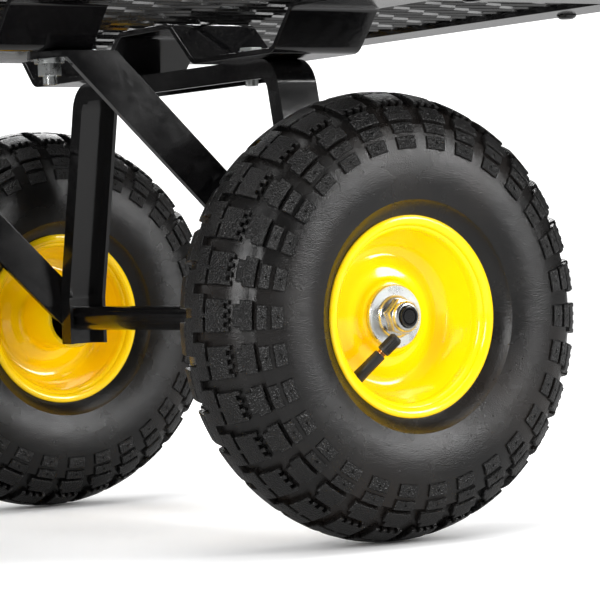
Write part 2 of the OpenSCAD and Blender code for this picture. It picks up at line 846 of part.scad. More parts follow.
module side_mesh(side) {
    l = 2 * side_half + bar_r;
    color("#232426") in_cart(0, hinge_z) on_side(side)
        translate([-l / 2, side_y - bar_r - mesh_t, mesh_foot]) cube([l, mesh_t, panel_h - mesh_foot]);
}

// The panel across one end of the bed, with a keeper plate for the latch bolt at each side
module end_frame(end, foot) {
    keeper_y = latch_y + latch_d / 2 + 6;
    color("#17181a") in_cart(0, hinge_z) on_end(end) translate([end_x, 0, 0]) {
        rotate([0, 0, 90]) panel_bars(end_half, [-end_half, 0, end_half], foot);
        for (side = [-1, 1]) on_side(side) difference() {
            translate([-keeper_t / 2, end_half, latch_z - hinge_z - 12])
                cube([keeper_t, keeper_y - end_half, 24]);
            translate([0, latch_y, latch_z - hinge_z]) rotate([0, 90, 0])
                cylinder(r = latch_d / 2 + keeper_clear, h = 4 * keeper_t, center = true);
        }
    }
}

module end_mesh(end) {
    w = 2 * end_half + bar_r;
    color("#232426") in_cart(0, hinge_z) on_end(end)
        translate([end_x - bar_r - mesh_t, -w / 2, mesh_foot]) cube([mesh_t, w, panel_h - mesh_foot]);
}

module side_frame_left() side_frame(1);
module side_frame_right() side_frame(-1);
module side_mesh_left() side_mesh(1);
module side_mesh_right() side_mesh(-1);
module tail_frame() end_frame(-1, 0);
module tail_mesh() end_mesh(-1);
module front_frame() end_frame(1, hinge_z - rail_z - 4);
module front_mesh() end_mesh(1);

// A latch bolt at rest, drawn back from its keeper
module latch(end, side) {
    r = latch_d / 2;
    tip = end_x - keeper_t / 2 - 3;
    l = 50 + latch_travel;
    color("#b9bcc0") in_cart(0, latch_z) on_end(end) on_side(side) translate([tip - l, latch_y, 0]) {
        rotate([0, 90, 0]) cylinder(r = r, h = l);
        translate([12 + r, 0, 0]) {
            bar([0, 0, 0], [0, 22, 0], r * 0.8);
            translate([0, 22, 0]) sphere(r = r + 1);
        }
    }
}

module latch_rear_left() latch(-1, 1);
module latch_rear_right() latch(-1, -1);
module latch_front_left() latch(1, 1);
module latch_front_right() latch(1, -1);

tyre_rear_left();
tyre_rear_right();
tyre_front_left();
tyre_front_right();
rim_rear_left();
rim_rear_right();
rim_front_left();
rim_front_right();
bearings_rear_left();
bearings_rear_right();
bearings_front_left();
bearings_front_right();
valve_rear_left();
valve_rear_right();
valve_front_left();
valve_front_right();
bed_rail_left();
bed_rail_right();
bed_rail_front();
bed_rail_rear();
bed_mesh();
bed_screws();
cross_member_rear();
cross_member_mid_rear();
cross_member_mid_front();
cross_member_front();
rear_axle_frame();
rear_axle();
rear_axle_nuts();
rear_brace_left();
rear_brace_right();
front_axle_frame();
front_brace_left();
front_brace_right();
frame_bolts();
brace_bolts();
steering_pivots();
knuckle_left();
knuckle_right();
spindle_nuts_left();
spindle_nuts_right();
tie_rod_left();
tie_rod_right();
tongue();
handle_tube();
handle_loop();
handle_grip();
handle_pin();
side_frame_left();
side_frame_right();
side_mesh_left();
side_mesh_right();
tail_frame();
tail_mesh();
front_frame();
front_mesh();
latch_rear_left();
latch_rear_right();
latch_front_left();
latch_front_right();
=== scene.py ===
import json
import math

import bmesh
import bpy
from mathutils import Matrix, Vector


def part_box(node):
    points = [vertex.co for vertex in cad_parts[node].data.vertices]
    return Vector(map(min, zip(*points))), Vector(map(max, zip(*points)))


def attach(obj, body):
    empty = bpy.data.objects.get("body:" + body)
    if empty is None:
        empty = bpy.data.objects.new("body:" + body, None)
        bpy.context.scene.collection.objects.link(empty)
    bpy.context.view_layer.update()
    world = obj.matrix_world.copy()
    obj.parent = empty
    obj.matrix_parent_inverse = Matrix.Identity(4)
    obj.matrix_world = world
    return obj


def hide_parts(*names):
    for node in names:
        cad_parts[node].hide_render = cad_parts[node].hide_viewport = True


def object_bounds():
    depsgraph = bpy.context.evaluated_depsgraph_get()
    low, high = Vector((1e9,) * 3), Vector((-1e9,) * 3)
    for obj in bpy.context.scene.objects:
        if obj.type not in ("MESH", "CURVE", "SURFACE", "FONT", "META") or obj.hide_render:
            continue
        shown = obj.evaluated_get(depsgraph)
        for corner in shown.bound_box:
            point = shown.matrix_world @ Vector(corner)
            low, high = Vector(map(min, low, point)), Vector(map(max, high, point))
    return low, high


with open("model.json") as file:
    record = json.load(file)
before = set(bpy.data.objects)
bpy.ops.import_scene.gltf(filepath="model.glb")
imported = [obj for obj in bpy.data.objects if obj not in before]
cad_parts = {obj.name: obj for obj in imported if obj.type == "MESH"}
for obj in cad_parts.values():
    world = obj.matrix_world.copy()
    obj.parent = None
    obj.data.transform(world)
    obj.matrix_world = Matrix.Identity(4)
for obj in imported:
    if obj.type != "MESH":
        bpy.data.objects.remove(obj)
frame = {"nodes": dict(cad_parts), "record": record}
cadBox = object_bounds()
bodyOfNode = {}
for bodyName, members in frame["record"]["behaviour"]["bodies"].items():
    for member in members:
        bodyOfNode[member] = bodyName
mm = 0.001
print("frame loaded:", len(frame["nodes"]), "nodes")


# camera

cameraSetup = {
    "place": (0.6205, 1.5126, 0.16945),
    "turn": 34.237,      # degrees from looking straight at the left side
    "tilt": -0.989,
    "roll": -2.25,
    "lens": 168.2,
}


def addCamera(setup):
    turn, tilt, roll = (math.radians(setup[k]) for k in ("turn", "tilt", "roll"))
    ahead = Vector((-math.sin(turn) * math.cos(tilt), -math.cos(turn) * math.cos(tilt), math.sin(tilt)))
    across = ahead.cross(Vector((0, 0, 1))).normalized()
    above = across.cross(ahead)
    right = math.cos(roll) * across + math.sin(roll) * above
    up = math.cos(roll) * above - math.sin(roll) * across
    data = bpy.data.cameras.new("cartCamera")
    data.sensor_width = 36
    data.lens = setup["lens"]
    data.clip_start = 0.01
    data.clip_end = 100
    camera = bpy.data.objects.new("cartCamera", data)
    bpy.context.scene.collection.objects.link(camera)
    turned = Matrix((right, up, -ahead)).transposed().to_4x4()
    camera.matrix_world = Matrix.Translation(setup["place"]) @ turned
    bpy.context.scene.camera = camera


addCamera(cameraSetup)
bpy.context.scene.view_settings.view_transform = "Standard"


# node helpers

def addNode(tree, kind, spot=(0, 0), **settings):
    node = tree.nodes.new(kind)
    node.location = spot
    for key, value in settings.items():
        setattr(node, key, value)
    return node


def mathNode(tree, operation, a, b=None, c=None, clamp=False):
    node = addNode(tree, "ShaderNodeMath", operation=operation, use_clamp=clamp)
    for socket, value in zip(node.inputs, (a, b, c)):
        if value is None:
            continue
        if isinstance(value, bpy.types.NodeSocket):
            tree.links.new(value, socket)
        else:
            socket.default_value = value
    return node.outputs[0]


def mixColours(tree, amount, a, b, blend="MIX"):
    node = addNode(tree, "ShaderNodeMix", data_type="RGBA", blend_type=blend)
    for socket, value in ((node.inputs[0], amount), (node.inputs[6], a), (node.inputs[7], b)):
        if isinstance(value, bpy.types.NodeSocket):
            tree.links.new(value, socket)
        else:
            socket.default_value = value
    return node.outputs[2]


def noise(tree, scale, detail=3.0, rough=0.55, vector=None):
    node = addNode(tree, "ShaderNodeTexNoise")
    node.inputs["Detail"].default_value = detail
    node.inputs["Roughness"].default_value = rough
    for socket, value in ((node.inputs["Scale"], scale), (node.inputs["Vector"], vector)):
        if isinstance(value, bpy.types.NodeSocket):
            tree.links.new(value, socket)
        elif value is not None:
            socket.default_value = value
    return node.outputs["Fac"]


def ramp(tree, value, low, high, toLow=0.0, toHigh=1.0):
    node = addNode(tree, "ShaderNodeMapRange", clamp=True)
    tree.links.new(value, node.inputs[0])
    for socket, number in zip(list(node.inputs)[1:5], (low, high, toLow, toHigh)):
        if isinstance(number, bpy.types.NodeSocket):
            tree.links.new(number, socket)
        else:
            socket.default_value = number
    return node.outputs[0]


def newGroup(name, inputs, outputs):
    group = bpy.data.node_groups.new(name, "ShaderNodeTree")
    for label, kind, value in inputs:
        socket = group.interface.new_socket(name=label, in_out="INPUT", socket_type=kind)
        socket.default_value = value
    for label, kind in outputs:
        group.interface.new_socket(name=label, in_out="OUTPUT", socket_type=kind)
    return group, addNode(group, "NodeGroupInput", (-900, 0)), addNode(group, "NodeGroupOutput", (900, 0))


# the cloudy patches, dust and handled edges that every finish shares
def buildSurfaceLife():
    group, given, out = newGroup(
        "surfaceLife",
        [
            ("Base", "NodeSocketColor", (0.5, 0.5, 0.5, 1)),
            ("Patch", "NodeSocketColor", (0.4, 0.4, 0.4, 1)),
            ("Worn", "NodeSocketColor", (0.6, 0.6, 0.6, 1)),
            ("Dust", "NodeSocketColor", (0.5, 0.48, 0.45, 1)),
            ("Patch Scale", "NodeSocketFloat", 12.0),
            ("Patch Amount", "NodeSocketFloat", 0.3),
            ("Worn Amount", "NodeSocketFloat", 0.3),
            ("Dust Amount", "NodeSocketFloat", 0.05),
            ("Smooth", "NodeSocketFloat", 0.2),
            ("Dull", "NodeSocketFloat", 0.35),
        ],
        [("Color", "NodeSocketColor"), ("Roughness", "NodeSocketFloat"), ("Worn Mask", "NodeSocketFloat")],
    )
    place = addNode(group, "ShaderNodeTexCoord", (-900, -300)).outputs["Object"]
    cloud = ramp(group, noise(group, given.outputs["Patch Scale"], 4.0, 0.6, place), 0.38, 0.68)
    speck = ramp(group, noise(group, 900.0, 2.0, 0.7, place), 0.60, 0.72)
    broken = ramp(group, noise(group, 160.0, 3.0, 0.7, place), 0.42, 0.62)
    edge = ramp(group, addNode(group, "ShaderNodeNewGeometry").outputs["Pointiness"], 0.53, 0.60)
    worn = mathNode(group, "MULTIPLY", mathNode(group, "MULTIPLY", edge, broken), given.outputs["Worn Amount"])
    facing = addNode(group, "ShaderNodeSeparateXYZ")
    group.links.new(addNode(group, "ShaderNodeNewGeometry").outputs["Normal"], facing.inputs[0])
    level = ramp(group, facing.outputs["Z"], 0.2, 1.0, 0.25, 1.0)
    dusty = mathNode(group, "MULTIPLY", mathNode(group, "MULTIPLY", speck, level), given.outputs["Dust Amount"])
    patched = mathNode(group, "MULTIPLY", cloud, given.outputs["Patch Amount"])
    colour = mixColours(group, patched, given.outputs["Base"], given.outputs["Patch"])
    colour = mixColours(group, worn, colour, given.outputs["Worn"])
    colour = mixColours(group, dusty, colour, given.outputs["Dust"])
    dull = ramp(group, cloud, 0.0, 1.0, given.outputs["Smooth"], given.outputs["Dull"])
    dull = mathNode(group, "ADD", dull, mathNode(group, "MULTIPLY", dusty, 0.5), clamp=True)
    group.links.new(colour, out.inputs["Color"])
    group.links.new(dull, out.inputs["Roughness"])
    group.links.new(worn, out.inputs["Worn Mask"])
    return group


# fine texture in the surface: orange peel in paint, cast skin in rubber, brushing in plating
def buildSkin():
    group, given, out = newGroup(
        "skin",
        [
            ("Wave Scale", "NodeSocketFloat", 60.0),
            ("Wave", "NodeSocketFloat", 1.0),
            ("Grain Scale", "NodeSocketFloat", 900.0),
            ("Grain", "NodeSocketFloat", 0.3),
        ],
        [("Height", "NodeSocketFloat")],
    )
    place = addNode(group, "ShaderNodeTexCoord", (-900, -300)).outputs["Object"]
    wave = mathNode(group, "MULTIPLY", noise(group, given.outputs["Wave Scale"], 2.0, 0.5, place), given.outputs["Wave"])
    grain = mathNode(group, "MULTIPLY", noise(group, given.outputs["Grain Scale"], 3.0, 0.6, place), given.outputs["Grain"])
    group.links.new(mathNode(group, "ADD", wave, grain), out.inputs["Height"])
    return group


surfaceLife = buildSurfaceLife()
skin = buildSkin()


def finish(name, look, extra=None):
    material = bpy.data.materials.new(name)
    material.use_nodes = True
    tree = material.node_tree
    tree.nodes.clear()
    shader = addNode(tree, "ShaderNodeBsdfPrincipled", (300, 0))
    out = addNode(tree, "ShaderNodeOutputMaterial", (600, 0))
    tree.links.new(shader.outputs[0], out.inputs["Surface"])
    for label, value in look["shader"].items():
        shader.inputs[label].default_value = value
    life = addNode(tree, "ShaderNodeGroup", (-300, 0), node_tree=surfaceLife)
    for label, value in look["life"].items():
        life.inputs[label].default_value = (*value, 1) if isinstance(value, tuple) else value
    height = addNode(tree, "ShaderNodeGroup", (-300, -400), node_tree=skin)
    for label, value in look["skin"].items():
        height.inputs[label].default_value = value
    bump = addNode(tree, "ShaderNodeBump", (0, -300))
    bump.inputs["Strength"].default_value = look.get("bump", 0.2)
    bump.inputs["Distance"].default_value = look.get("deep", 0.3) * mm
    colour, dull, rise = life.outputs["Color"], life.outputs["Roughness"], height.outputs[0]
    if extra:
        colour, dull, rise = extra(tree, colour, dull, rise)
    tree.links.new(colour, shader.inputs["Base Color"])
    tree.links.new(dull, shader.inputs["Roughness"])
    tree.links.new(rise, bump.inputs["Height"])
    tree.links.new(bump.outputs[0], shader.inputs["Normal"])
    return material


def lugStippleAndSheen(tree, colour, dull, rise):   # cast stipple on the lug faces, and a painted brownish sheen in soft patches on the sidewall
    place = addNode(tree, "ShaderNodeTexCoord").outputs["Object"]
    onLug = addNode(tree, "ShaderNodeAttribute", attribute_name="lug").outputs["Fac"]
    pebble = addNode(tree, "ShaderNodeTexVoronoi", feature="SMOOTH_F1")
    tree.links.new(place, pebble.inputs["Vector"])
    pebble.inputs["Scale"].default_value = 1100
    pebbled = mathNode(tree, "MULTIPLY", pebble.outputs["Distance"], onLug)
    rise = mathNode(tree, "ADD", rise, mathNode(tree, "MULTIPLY", pebbled, 4.0))
    # painted sheen: soft noise patches where the bare sidewall is painted a lighter brown
    paintedSheen = ramp(tree, noise(tree, 9.0, 3.0, 0.6, place), 0.45, 0.75, 0.0, 0.6)
    bare = mathNode(tree, "SUBTRACT", 1.0, onLug)
    # mixes the painted sheen colour into the sidewall, away from the lugs
    colour = mixColours(tree, mathNode(tree, "MULTIPLY", paintedSheen, bare), colour, (0.020, 0.014, 0.011, 1))
    dull = mathNode(tree, "ADD", dull, mathNode(tree, "MULTIPLY", onLug, 0.10), clamp=True)
    return colour, dull, rise


def plateStreaks(tree, colour, dull, rise):   # cloudy passivation on the zinc
    place = addNode(tree, "ShaderNodeTexCoord").outputs["Object"]
    streak = ramp(tree, noise(tree, 240.0, 5.0, 0.7, place), 0.35, 0.7)
    colour = mixColours(tree, mathNode(tree, "MULTIPLY", streak, 0.35), colour, (0.42, 0.44, 0.42, 1))
    dull = mathNode(tree, "ADD", dull, mathNode(tree, "MULTIPLY", streak, 0.12), clamp=True)
    return colour, dull, rise


looks = {
    "glossBlack": {
        "shader": {"Specular IOR Level": 0.45, "Coat Weight": 0.3, "Coat Roughness": 0.05},
        "life": {"Base": (0.0015, 0.0015, 0.0018), "Patch": (0.005, 0.0045, 0.0045), "Worn": (0.03, 0.03, 0.03),
                 "Dust": (0.30, 0.29, 0.27), "Patch Scale": 14.0, "Patch Amount": 0.6, "Worn Amount": 0.25,
                 "Dust Amount": 0.16, "Smooth": 0.10, "Dull": 0.22},
        "skin": {"Wave Scale": 170.0, "Wave": 1.0, "Grain Scale": 1500.0, "Grain": 0.14},
        "bump": 0.22, "deep": 0.30,
    },
    "meshBlack": {
        "shader": {"Specular IOR Level": 0.5, "Coat Weight": 0.5, "Coat Roughness": 0.10},
        "life": {"Base": (0.004, 0.004, 0.004), "Patch": (0.010, 0.010, 0.009), "Worn": (0.20, 0.20, 0.20),
                 "Dust": (0.25, 0.24, 0.22), "Patch Scale": 30.0, "Patch Amount": 0.5, "Worn Amount": 0.2,
                 "Dust Amount": 0.08, "Smooth": 0.18, "Dull": 0.32},
        "skin": {"Wave Scale": 300.0, "Wave": 0.7, "Grain Scale": 1800.0, "Grain": 0.2},
        "bump": 0.2, "deep": 0.2,
    },
    "rimYellow": {
        "shader": {"Specular IOR Level": 0.4, "Coat Weight": 0.5, "Coat Roughness": 0.03},
        "life": {"Base": (1.0, 0.66, 0.001), "Patch": (1.0, 0.58, 0.001), "Worn": (1.0, 0.85, 0.25),
                 "Dust": (0.60, 0.45, 0.20), "Patch Scale": 18.0, "Patch Amount": 0.45, "Worn Amount": 0.2,
                 "Dust Amount": 0.05, "Smooth": 0.10, "Dull": 0.20},
        "skin": {"Wave Scale": 120.0, "Wave": 1.0, "Grain Scale": 1500.0, "Grain": 0.05},
        "bump": 0.10, "deep": 0.25,
    },
    "brightZinc": {
        "shader": {"Metallic": 1.0},
        "life": {"Base": (0.80, 0.82, 0.82), "Patch": (0.64, 0.68, 0.67), "Worn": (0.85, 0.86, 0.86),
                 "Dust": (0.30, 0.28, 0.25), "Patch Scale": 70.0, "Patch Amount": 0.6, "Worn Amount": 0.4,
                 "Dust Amount": 0.05, "Smooth": 0.20, "Dull": 0.36},
        "skin": {"Wave Scale": 260.0, "Wave": 0.4, "Grain Scale": 2200.0, "Grain": 0.5},
        "bump": 0.15, "deep": 0.15,
    },
    "darkSteel": {
        "shader": {"Metallic": 1.0},
        "life": {"Base": (0.20, 0.20, 0.21), "Patch": (0.13, 0.13, 0.14), "Worn": (0.5, 0.5, 0.5),
                 "Dust": (0.20, 0.18, 0.15), "Patch Scale": 90.0, "Patch Amount": 0.7, "Worn Amount": 0.4,
                 "Dust Amount": 0.05, "Smooth": 0.30, "Dull": 0.45},
        "skin": {"Wave Scale": 260.0, "Wave": 0.5, "Grain Scale": 2200.0, "Grain": 0.6},
        "bump": 0.2, "deep": 0.2,
    },
    "tyreBlack": {
        "shader": {"Specular IOR Level": 0.5, "Coat Weight": 0.0},
        "life": {"Base": (0.0035, 0.0034, 0.0034), "Patch": (0.008, 0.0072, 0.0066), "Worn": (0.03, 0.03, 0.03),
                 "Dust": (0.30, 0.28, 0.26), "Patch Scale": 26.0, "Patch Amount": 0.7, "Worn Amount": 0.4,
                 "Dust Amount": 0.15, "Smooth": 0.18, "Dull": 0.34},
        "skin": {"Wave Scale": 110.0, "Wave": 0.9, "Grain Scale": 1300.0, "Grain": 0.8},
        "bump": 0.6, "deep": 0.45,
    },
    "softBlack": {
        "shader": {"Specular IOR Level": 0.5},
        "life": {"Base": (0.012, 0.012, 0.012), "Patch": (0.022, 0.021, 0.020), "Worn": (0.06, 0.06, 0.06),
                 "Dust": (0.22, 0.20, 0.18), "Patch Scale": 60.0, "Patch Amount": 0.6, "Worn Amount": 0.3,
                 "Dust Amount": 0.10, "Smooth": 0.38, "Dull": 0.55},
        "skin": {"Wave Scale": 200.0, "Wave": 0.6, "Grain Scale": 1800.0, "Grain": 0.6},
        "bump": 0.3, "deep": 0.25,
    },
    "brass": {
        "shader": {"Metallic": 1.0},
        "life": {"Base": (0.50, 0.24, 0.09), "Patch": (0.34, 0.15, 0.06), "Worn": (0.8, 0.5, 0.25),
                 "Dust": (0.20, 0.18, 0.15), "Patch Scale": 120.0, "Patch Amount": 0.6, "Worn Amount": 0.4,
                 "Dust Amount": 0.05, "Smooth": 0.22, "Dull": 0.38},
        "skin": {"Wave Scale": 300.0, "Wave": 0.4, "Grain Scale": 2200.0, "Grain": 0.4},
        "bump": 0.15, "deep": 0.15,
    },
}
glossBlack = finish("glossBlackPaint", looks["glossBlack"])
meshBlack = finish("meshBlackPaint", looks["meshBlack"])
rimYellow = finish("rimYellowEnamel", looks["rimYellow"])
brightZinc = finish("brightZinc", looks["brightZinc"], plateStreaks)
darkSteel = finish("darkSteel", looks["darkSteel"])
tyreBlack = finish("tyreBlackRubber", looks["tyreBlack"], lugStippleAndSheen)
softBlack = finish("softBlackRubber", looks["softBlack"])
brass = finish("valveBrass", looks["brass"])
print("finishes made")


# mesh helpers

def makePiece(name, bm, body, materials, nodes=(), crease=35, weld=2e-6, recalc=True, flat=False):
    if recalc:
        bmesh.ops.remove_doubles(bm, verts=bm.verts, dist=weld)
        bmesh.ops.recalc_face_normals(bm, faces=bm.faces)
    mesh = bpy.data.meshes.new(name)
    bm.to_mesh(mesh)
    bm.free()
    for material in materials:
        mesh.materials.append(material)
    mesh.polygons.foreach_set("use_smooth", [True] * len(mesh.polygons))
    mesh.set_sharp_from_angle(angle=math.radians(crease))
    piece = bpy.data.objects.new(name, mesh)
    bpy.context.scene.collection.objects.link(piece)
    if flat:   # keeps broad faces flat between their rounded edges
        weighted = piece.modifiers.new("flatFaces", "WEIGHTED_NORMAL")
        weighted.keep_sharp = True
    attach(piece, body)
    if nodes:
        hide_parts(*nodes)
    return piece


def lathe(bm, profile, steps, matIndex=0, closed=True):   # profile of (radius, across) in mm, axis along Y
    verts = [bm.verts.new((radius * mm, across * mm, 0)) for radius, across in profile]
    pairs = list(zip(verts, verts[1:] + verts[:1])) if closed else list(zip(verts, verts[1:]))
    edges = [bm.edges.new(pair) for pair in pairs]
    made = set(bm.faces)
    bmesh.ops.spin(bm, geom=verts + edges, cent=(0, 0, 0), axis=(0, 1, 0), dvec=(0, 0, 0),
                   angle=math.tau, steps=steps, use_merge=True, use_duplicate=False)
    fresh = [f for f in bm.faces if f not in made]
    for f in fresh:
        f.material_index = matIndex
    return fresh


def prism(bm, sides, across, low, high, matIndex=0, edge=0.0):   # many-sided bar along Y, across flats in mm
    radius = across * mm / 2 / math.cos(math.pi / sides)
    made = bmesh.ops.create_cone(bm, cap_ends=True, cap_tris=False, segments=sides, radius1=radius, radius2=radius,
                                 depth=(high - low) * mm)
    bmesh.ops.rotate(bm, verts=made["verts"], cent=(0, 0, 0), matrix=Matrix.Rotation(-math.pi / 2, 3, "X"))
    bmesh.ops.translate(bm, verts=made["verts"], vec=(0, (low + high) / 2 * mm, 0))
    faces = {f for v in made["verts"] for f in v.link_faces}
    for f in faces:
        f.material_index = matIndex
    if edge:
        edges = list({e for v in made["verts"] for e in v.link_edges})
        bmesh.ops.bevel(bm, geom=edges, offset=edge * mm, segments=2, profile=0.5, affect="EDGES", material=-1)
    return made["verts"]


def joinInto(target, source):   # adds a finished bmesh to another
    mesh = bpy.data.meshes.new("joining")
    source.to_mesh(mesh)
    source.free()
    target.from_mesh(mesh)
    bpy.data.meshes.remove(mesh)


def placed(bm, matrix):
    bmesh.ops.transform(bm, matrix=matrix, verts=bm.verts)
    if matrix.determinant() < 0:
        bmesh.ops.reverse_faces(bm, faces=bm.faces)
    return bm


wheels = {}
for wheelName in ("rear_left", "rear_right", "front_left", "front_right"):
    low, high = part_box("tyre_" + wheelName)
    wheels[wheelName] = {"centre": (low + high) / 2, "side": 1 if high.y > 0 else -1}


def wheelPlace(name, turn=0.0):   # from a wheel drawn round Y, outboard at +Y, to its place
    wheel = wheels[name]
    return (Matrix.Translation(wheel["centre"]) @ Matrix.Scale(wheel["side"], 4, (0, 1, 0))
            @ Matrix.Rotation(math.radians(turn), 4, "Y"))


# tyres

tyre = {
    "lugs": 30,           # lug groups round each side
    "columns": 10,        # strips in one lug pitch
    "crownHeight": 3.6,
    "shoulderHeight": 3.0,
    "outerBlock": 1.7,
    "innerBlock": 1.4,
    "edge": 0.4,
    "vent": 1.3,
    # radius and distance from the wheel's middle, from the crown to the bead
    "half": [
        (126.4, 0.0), (126.1, 4.0), (125.3, 8.0), (124.8, 9.6), (123.9, 12.5), (122.6, 16.0), (121.6, 18.6),
        (120.6, 20.6), (119.4, 22.6), (118.0, 24.6), (115.6, 27.2), (112.9, 29.6), (110.2, 31.6),
        (109.3, 33.7), (106.8, 35.0), (104.4, 35.9), (102.3, 36.8), (98.9, 37.8), (95.3, 38.5), (93.6, 38.9),
        (88.0, 39.4), (82.0, 39.5), (76.0, 38.9), (70.5, 37.5), (67.6, 36.6), (66.6, 36.3), (66.0, 35.6),
        (65.2, 34.0), (61.6, 31.6), (58.9, 29.6), (56.5, 28.3), (52.0, 27.4), (50.6, 26.0),
    ],
    "stagger": 5,
    "nubs": [(76.2, 38.7, 24), (88.5, 39.2, 12), (66.5, 35.7, 10)],
}


def lugHeight(sizes, band, column):   # how far a tread face rises, or 0 in a groove
    if band <= 7:
        if column >= 8 or (band >= 3 and column == 7):
            return 0
        if band == 2 and column != 3:    # two long slits in each block
            return 0
        if band == 7 and column in (1, 3, 5):   # stepped outer edge
            return 0
        return sizes["crownHeight"]
    if 9 <= band <= 11:
        if column >= 7 or (band == 9 and column in (0, 6)):
            return 0
        return sizes["shoulderHeight"]
    if column > 5:
        return 0
    return {13: sizes["outerBlock"], 14: sizes["outerBlock"],
            16: sizes["innerBlock"], 17: sizes["innerBlock"]}.get(band, 0)


def buildTyre(sizes):
    half = sizes["half"]
    profile = [(r, -w) for r, w in reversed(half[1:])] + half
    count = len(half) - 1
    steps = sizes["lugs"] * sizes["columns"]
    bm = bmesh.new()
    ringOf = bm.verts.layers.int.new("ring")
    lathe(bm, profile, steps)
    bmesh.ops.remove_doubles(bm, verts=bm.verts, dist=2e-6)
    bmesh.ops.recalc_face_normals(bm, faces=bm.faces)
    spots = {(round(r, 1), round(w, 1)): i - count for i, (r, w) in enumerate(profile)}
    for v in bm.verts:
        key = (round(math.hypot(v.co.x, v.co.z) / mm, 1), round(v.co.y / mm, 1))
        v[ringOf] = spots[key] if key in spots else 99
    raised = {}
    for f in bm.faces:
        rings = [v[ringOf] for v in f.verts]
        if max(rings) > 18 or min(rings) < -18:
            continue
        band = min(abs(r) for r in rings)
        centre = f.calc_center_median()
        around = math.atan2(centre.z, centre.x) / math.tau * steps % steps
        column = int(around + (sizes["stagger"] if centre.y < 0 else 0)) % sizes["columns"]
        height = lugHeight(sizes, band, column)
        if height:
            raised[f] = height
    heights = {}
    for f, height in raised.items():
        for v in f.verts:
            heights[tuple(round(c, 6) for c in v.co)] = (height, Vector((0, 0, 0)))
    normals = {tuple(round(c, 6) for c in v.co): v.normal.copy() for v in bm.verts}
    before = set(bm.faces)
    out = bmesh.ops.extrude_face_region(bm, geom=list(raised))
    tops = [g for g in out["geom"] if isinstance(g, bmesh.types.BMFace)]
    lug = bm.verts.layers.float.new("lug")
    for v in {v for f in tops for v in f.verts}:
        key = tuple(round(c, 6) for c in v.co)
        v.co += normals[key] * heights[key][0] * mm
        v[lug] = 1.0
    old = [f for f in raised if f.is_valid]
    if old:
        bmesh.ops.delete(bm, geom=old, context="FACES_ONLY")
    topSet = set(tops)
    middles = [v for v in {v for f in tops for v in f.verts} if abs(v[ringOf]) in (14, 17)
               and all(f in topSet for f in v.link_faces)]
    middles = [v for v in middles if isBlockMiddle(v, sizes, steps)]
    rims = [e for e in bm.edges if len(e.link_faces) == 2 and (e.link_faces[0] in topSet) != (e.link_faces[1] in topSet)]
    made = bmesh.ops.bevel(bm, geom=middles, offset=sizes["vent"] * mm, segments=2, profile=0.5, affect="VERTICES",
                           material=-1)
    holes = bmesh.ops.dissolve_faces(bm, faces=[f for f in made["faces"] if f.is_valid])["region"]
    sunk = bmesh.ops.inset_individual(bm, faces=holes, thickness=0.12 * mm, depth=-0.6 * mm, use_even_offset=True)
    rims = [e for e in rims if e.is_valid]
    bmesh.ops.bevel(bm, geom=rims, offset=sizes["edge"] * mm, segments=1, profile=0.5, affect="EDGES", material=-1,
                    clamp_overlap=True)
    for radius, across, number in sizes["nubs"]:
        for i in range(number):
            turn = Matrix.Rotation(math.tau * (i + 0.5) / number, 4, "Y")
            nub = bmesh.ops.create_cone(bm, cap_ends=True, segments=7, radius1=0.75 * mm, radius2=0.45 * mm,
                                        depth=1.2 * mm)["verts"]
            spot = turn @ Matrix.Translation((radius * mm, across * mm, 0)) @ Matrix.Rotation(-math.pi / 2, 4, "X")
            bmesh.ops.transform(bm, matrix=spot, verts=nub)
    return bm


def isBlockMiddle(v, sizes, steps):
    around = math.atan2(v.co.z, v.co.x) / math.tau * steps % steps
    column = round(around + (sizes["stagger"] if v.co.y < 0 else 0)) % sizes["columns"]
    return column == 3


tyreShape = buildTyre(tyre)
print("tyre:", len(tyreShape.faces), "faces")
for wheelName, turn in (("rear_left", 1.3), ("rear_right", 4.0), ("front_left", 7.0), ("front_right", 3.0)):
    copy = placed(tyreShape.copy(), wheelPlace(wheelName, turn))
    makePiece("tyre_tread_" + wheelName, copy, "wheel_" + wheelName, [tyreBlack],
              ["tyre_" + wheelName], crease=32, recalc=False)
tyreShape.free()
print("tyres made")


# rims

rim = {
    "steps": 128,
    "outboard": [
        (8.3, 9.4), (18.6, 9.5), (20.0, 9.3), (21.0, 8.4), (21.5, 6.8), (22.5, 5.6), (24.2, 5.1), (26.8, 5.0),
        (28.8, 4.6), (31.0, 3.4), (33.5, 1.9), (36.0, 1.1), (38.6, 1.2), (41.4, 2.7), (44.0, 6.0), (46.3, 11.0),
        (48.3, 17.0), (50.0, 22.0), (51.3, 25.6), (52.0, 27.8), (52.6, 29.2), (53.8, 30.2), (55.4, 30.6),
        (56.9, 30.4), (57.8, 29.7), (58.0, 28.7), (57.4, 27.9), (55.0, 27.7), (51.6, 27.3), (49.9, 26.0),
        (49.4, 23.6),
    ],
    "inboard": [
        (49.4, -23.6), (49.9, -26.0), (51.6, -27.3), (55.0, -27.7), (57.4, -27.9), (58.0, -28.7), (57.8, -29.7),
        (56.9, -30.4), (55.4, -30.6), (53.8, -30.2), (52.6, -29.2), (52.0, -27.8), (51.3, -25.6), (50.0, -22.0),
        (48.3, -17.0), (46.3, -11.0), (44.0, -7.0), (41.4, -4.4), (38.6, -3.2), (36.0, -3.1), (33.5, -3.9),
        (31.0, -5.4), (28.8, -6.6), (26.8, -7.0), (24.2, -7.2), (22.0, -7.9), (20.6, -9.6), (20.2, -12.0),
        (20.2, -42.8), (19.6, -44.0), (8.3, -44.0),
    ],
}


def buildRim(sizes):
    bm = bmesh.new()
    lathe(bm, sizes["outboard"] + sizes["inboard"], sizes["steps"])
    bmesh.ops.remove_doubles(bm, verts=bm.verts, dist=2e-6)
    bmesh.ops.recalc_face_normals(bm, faces=bm.faces)
    return bm


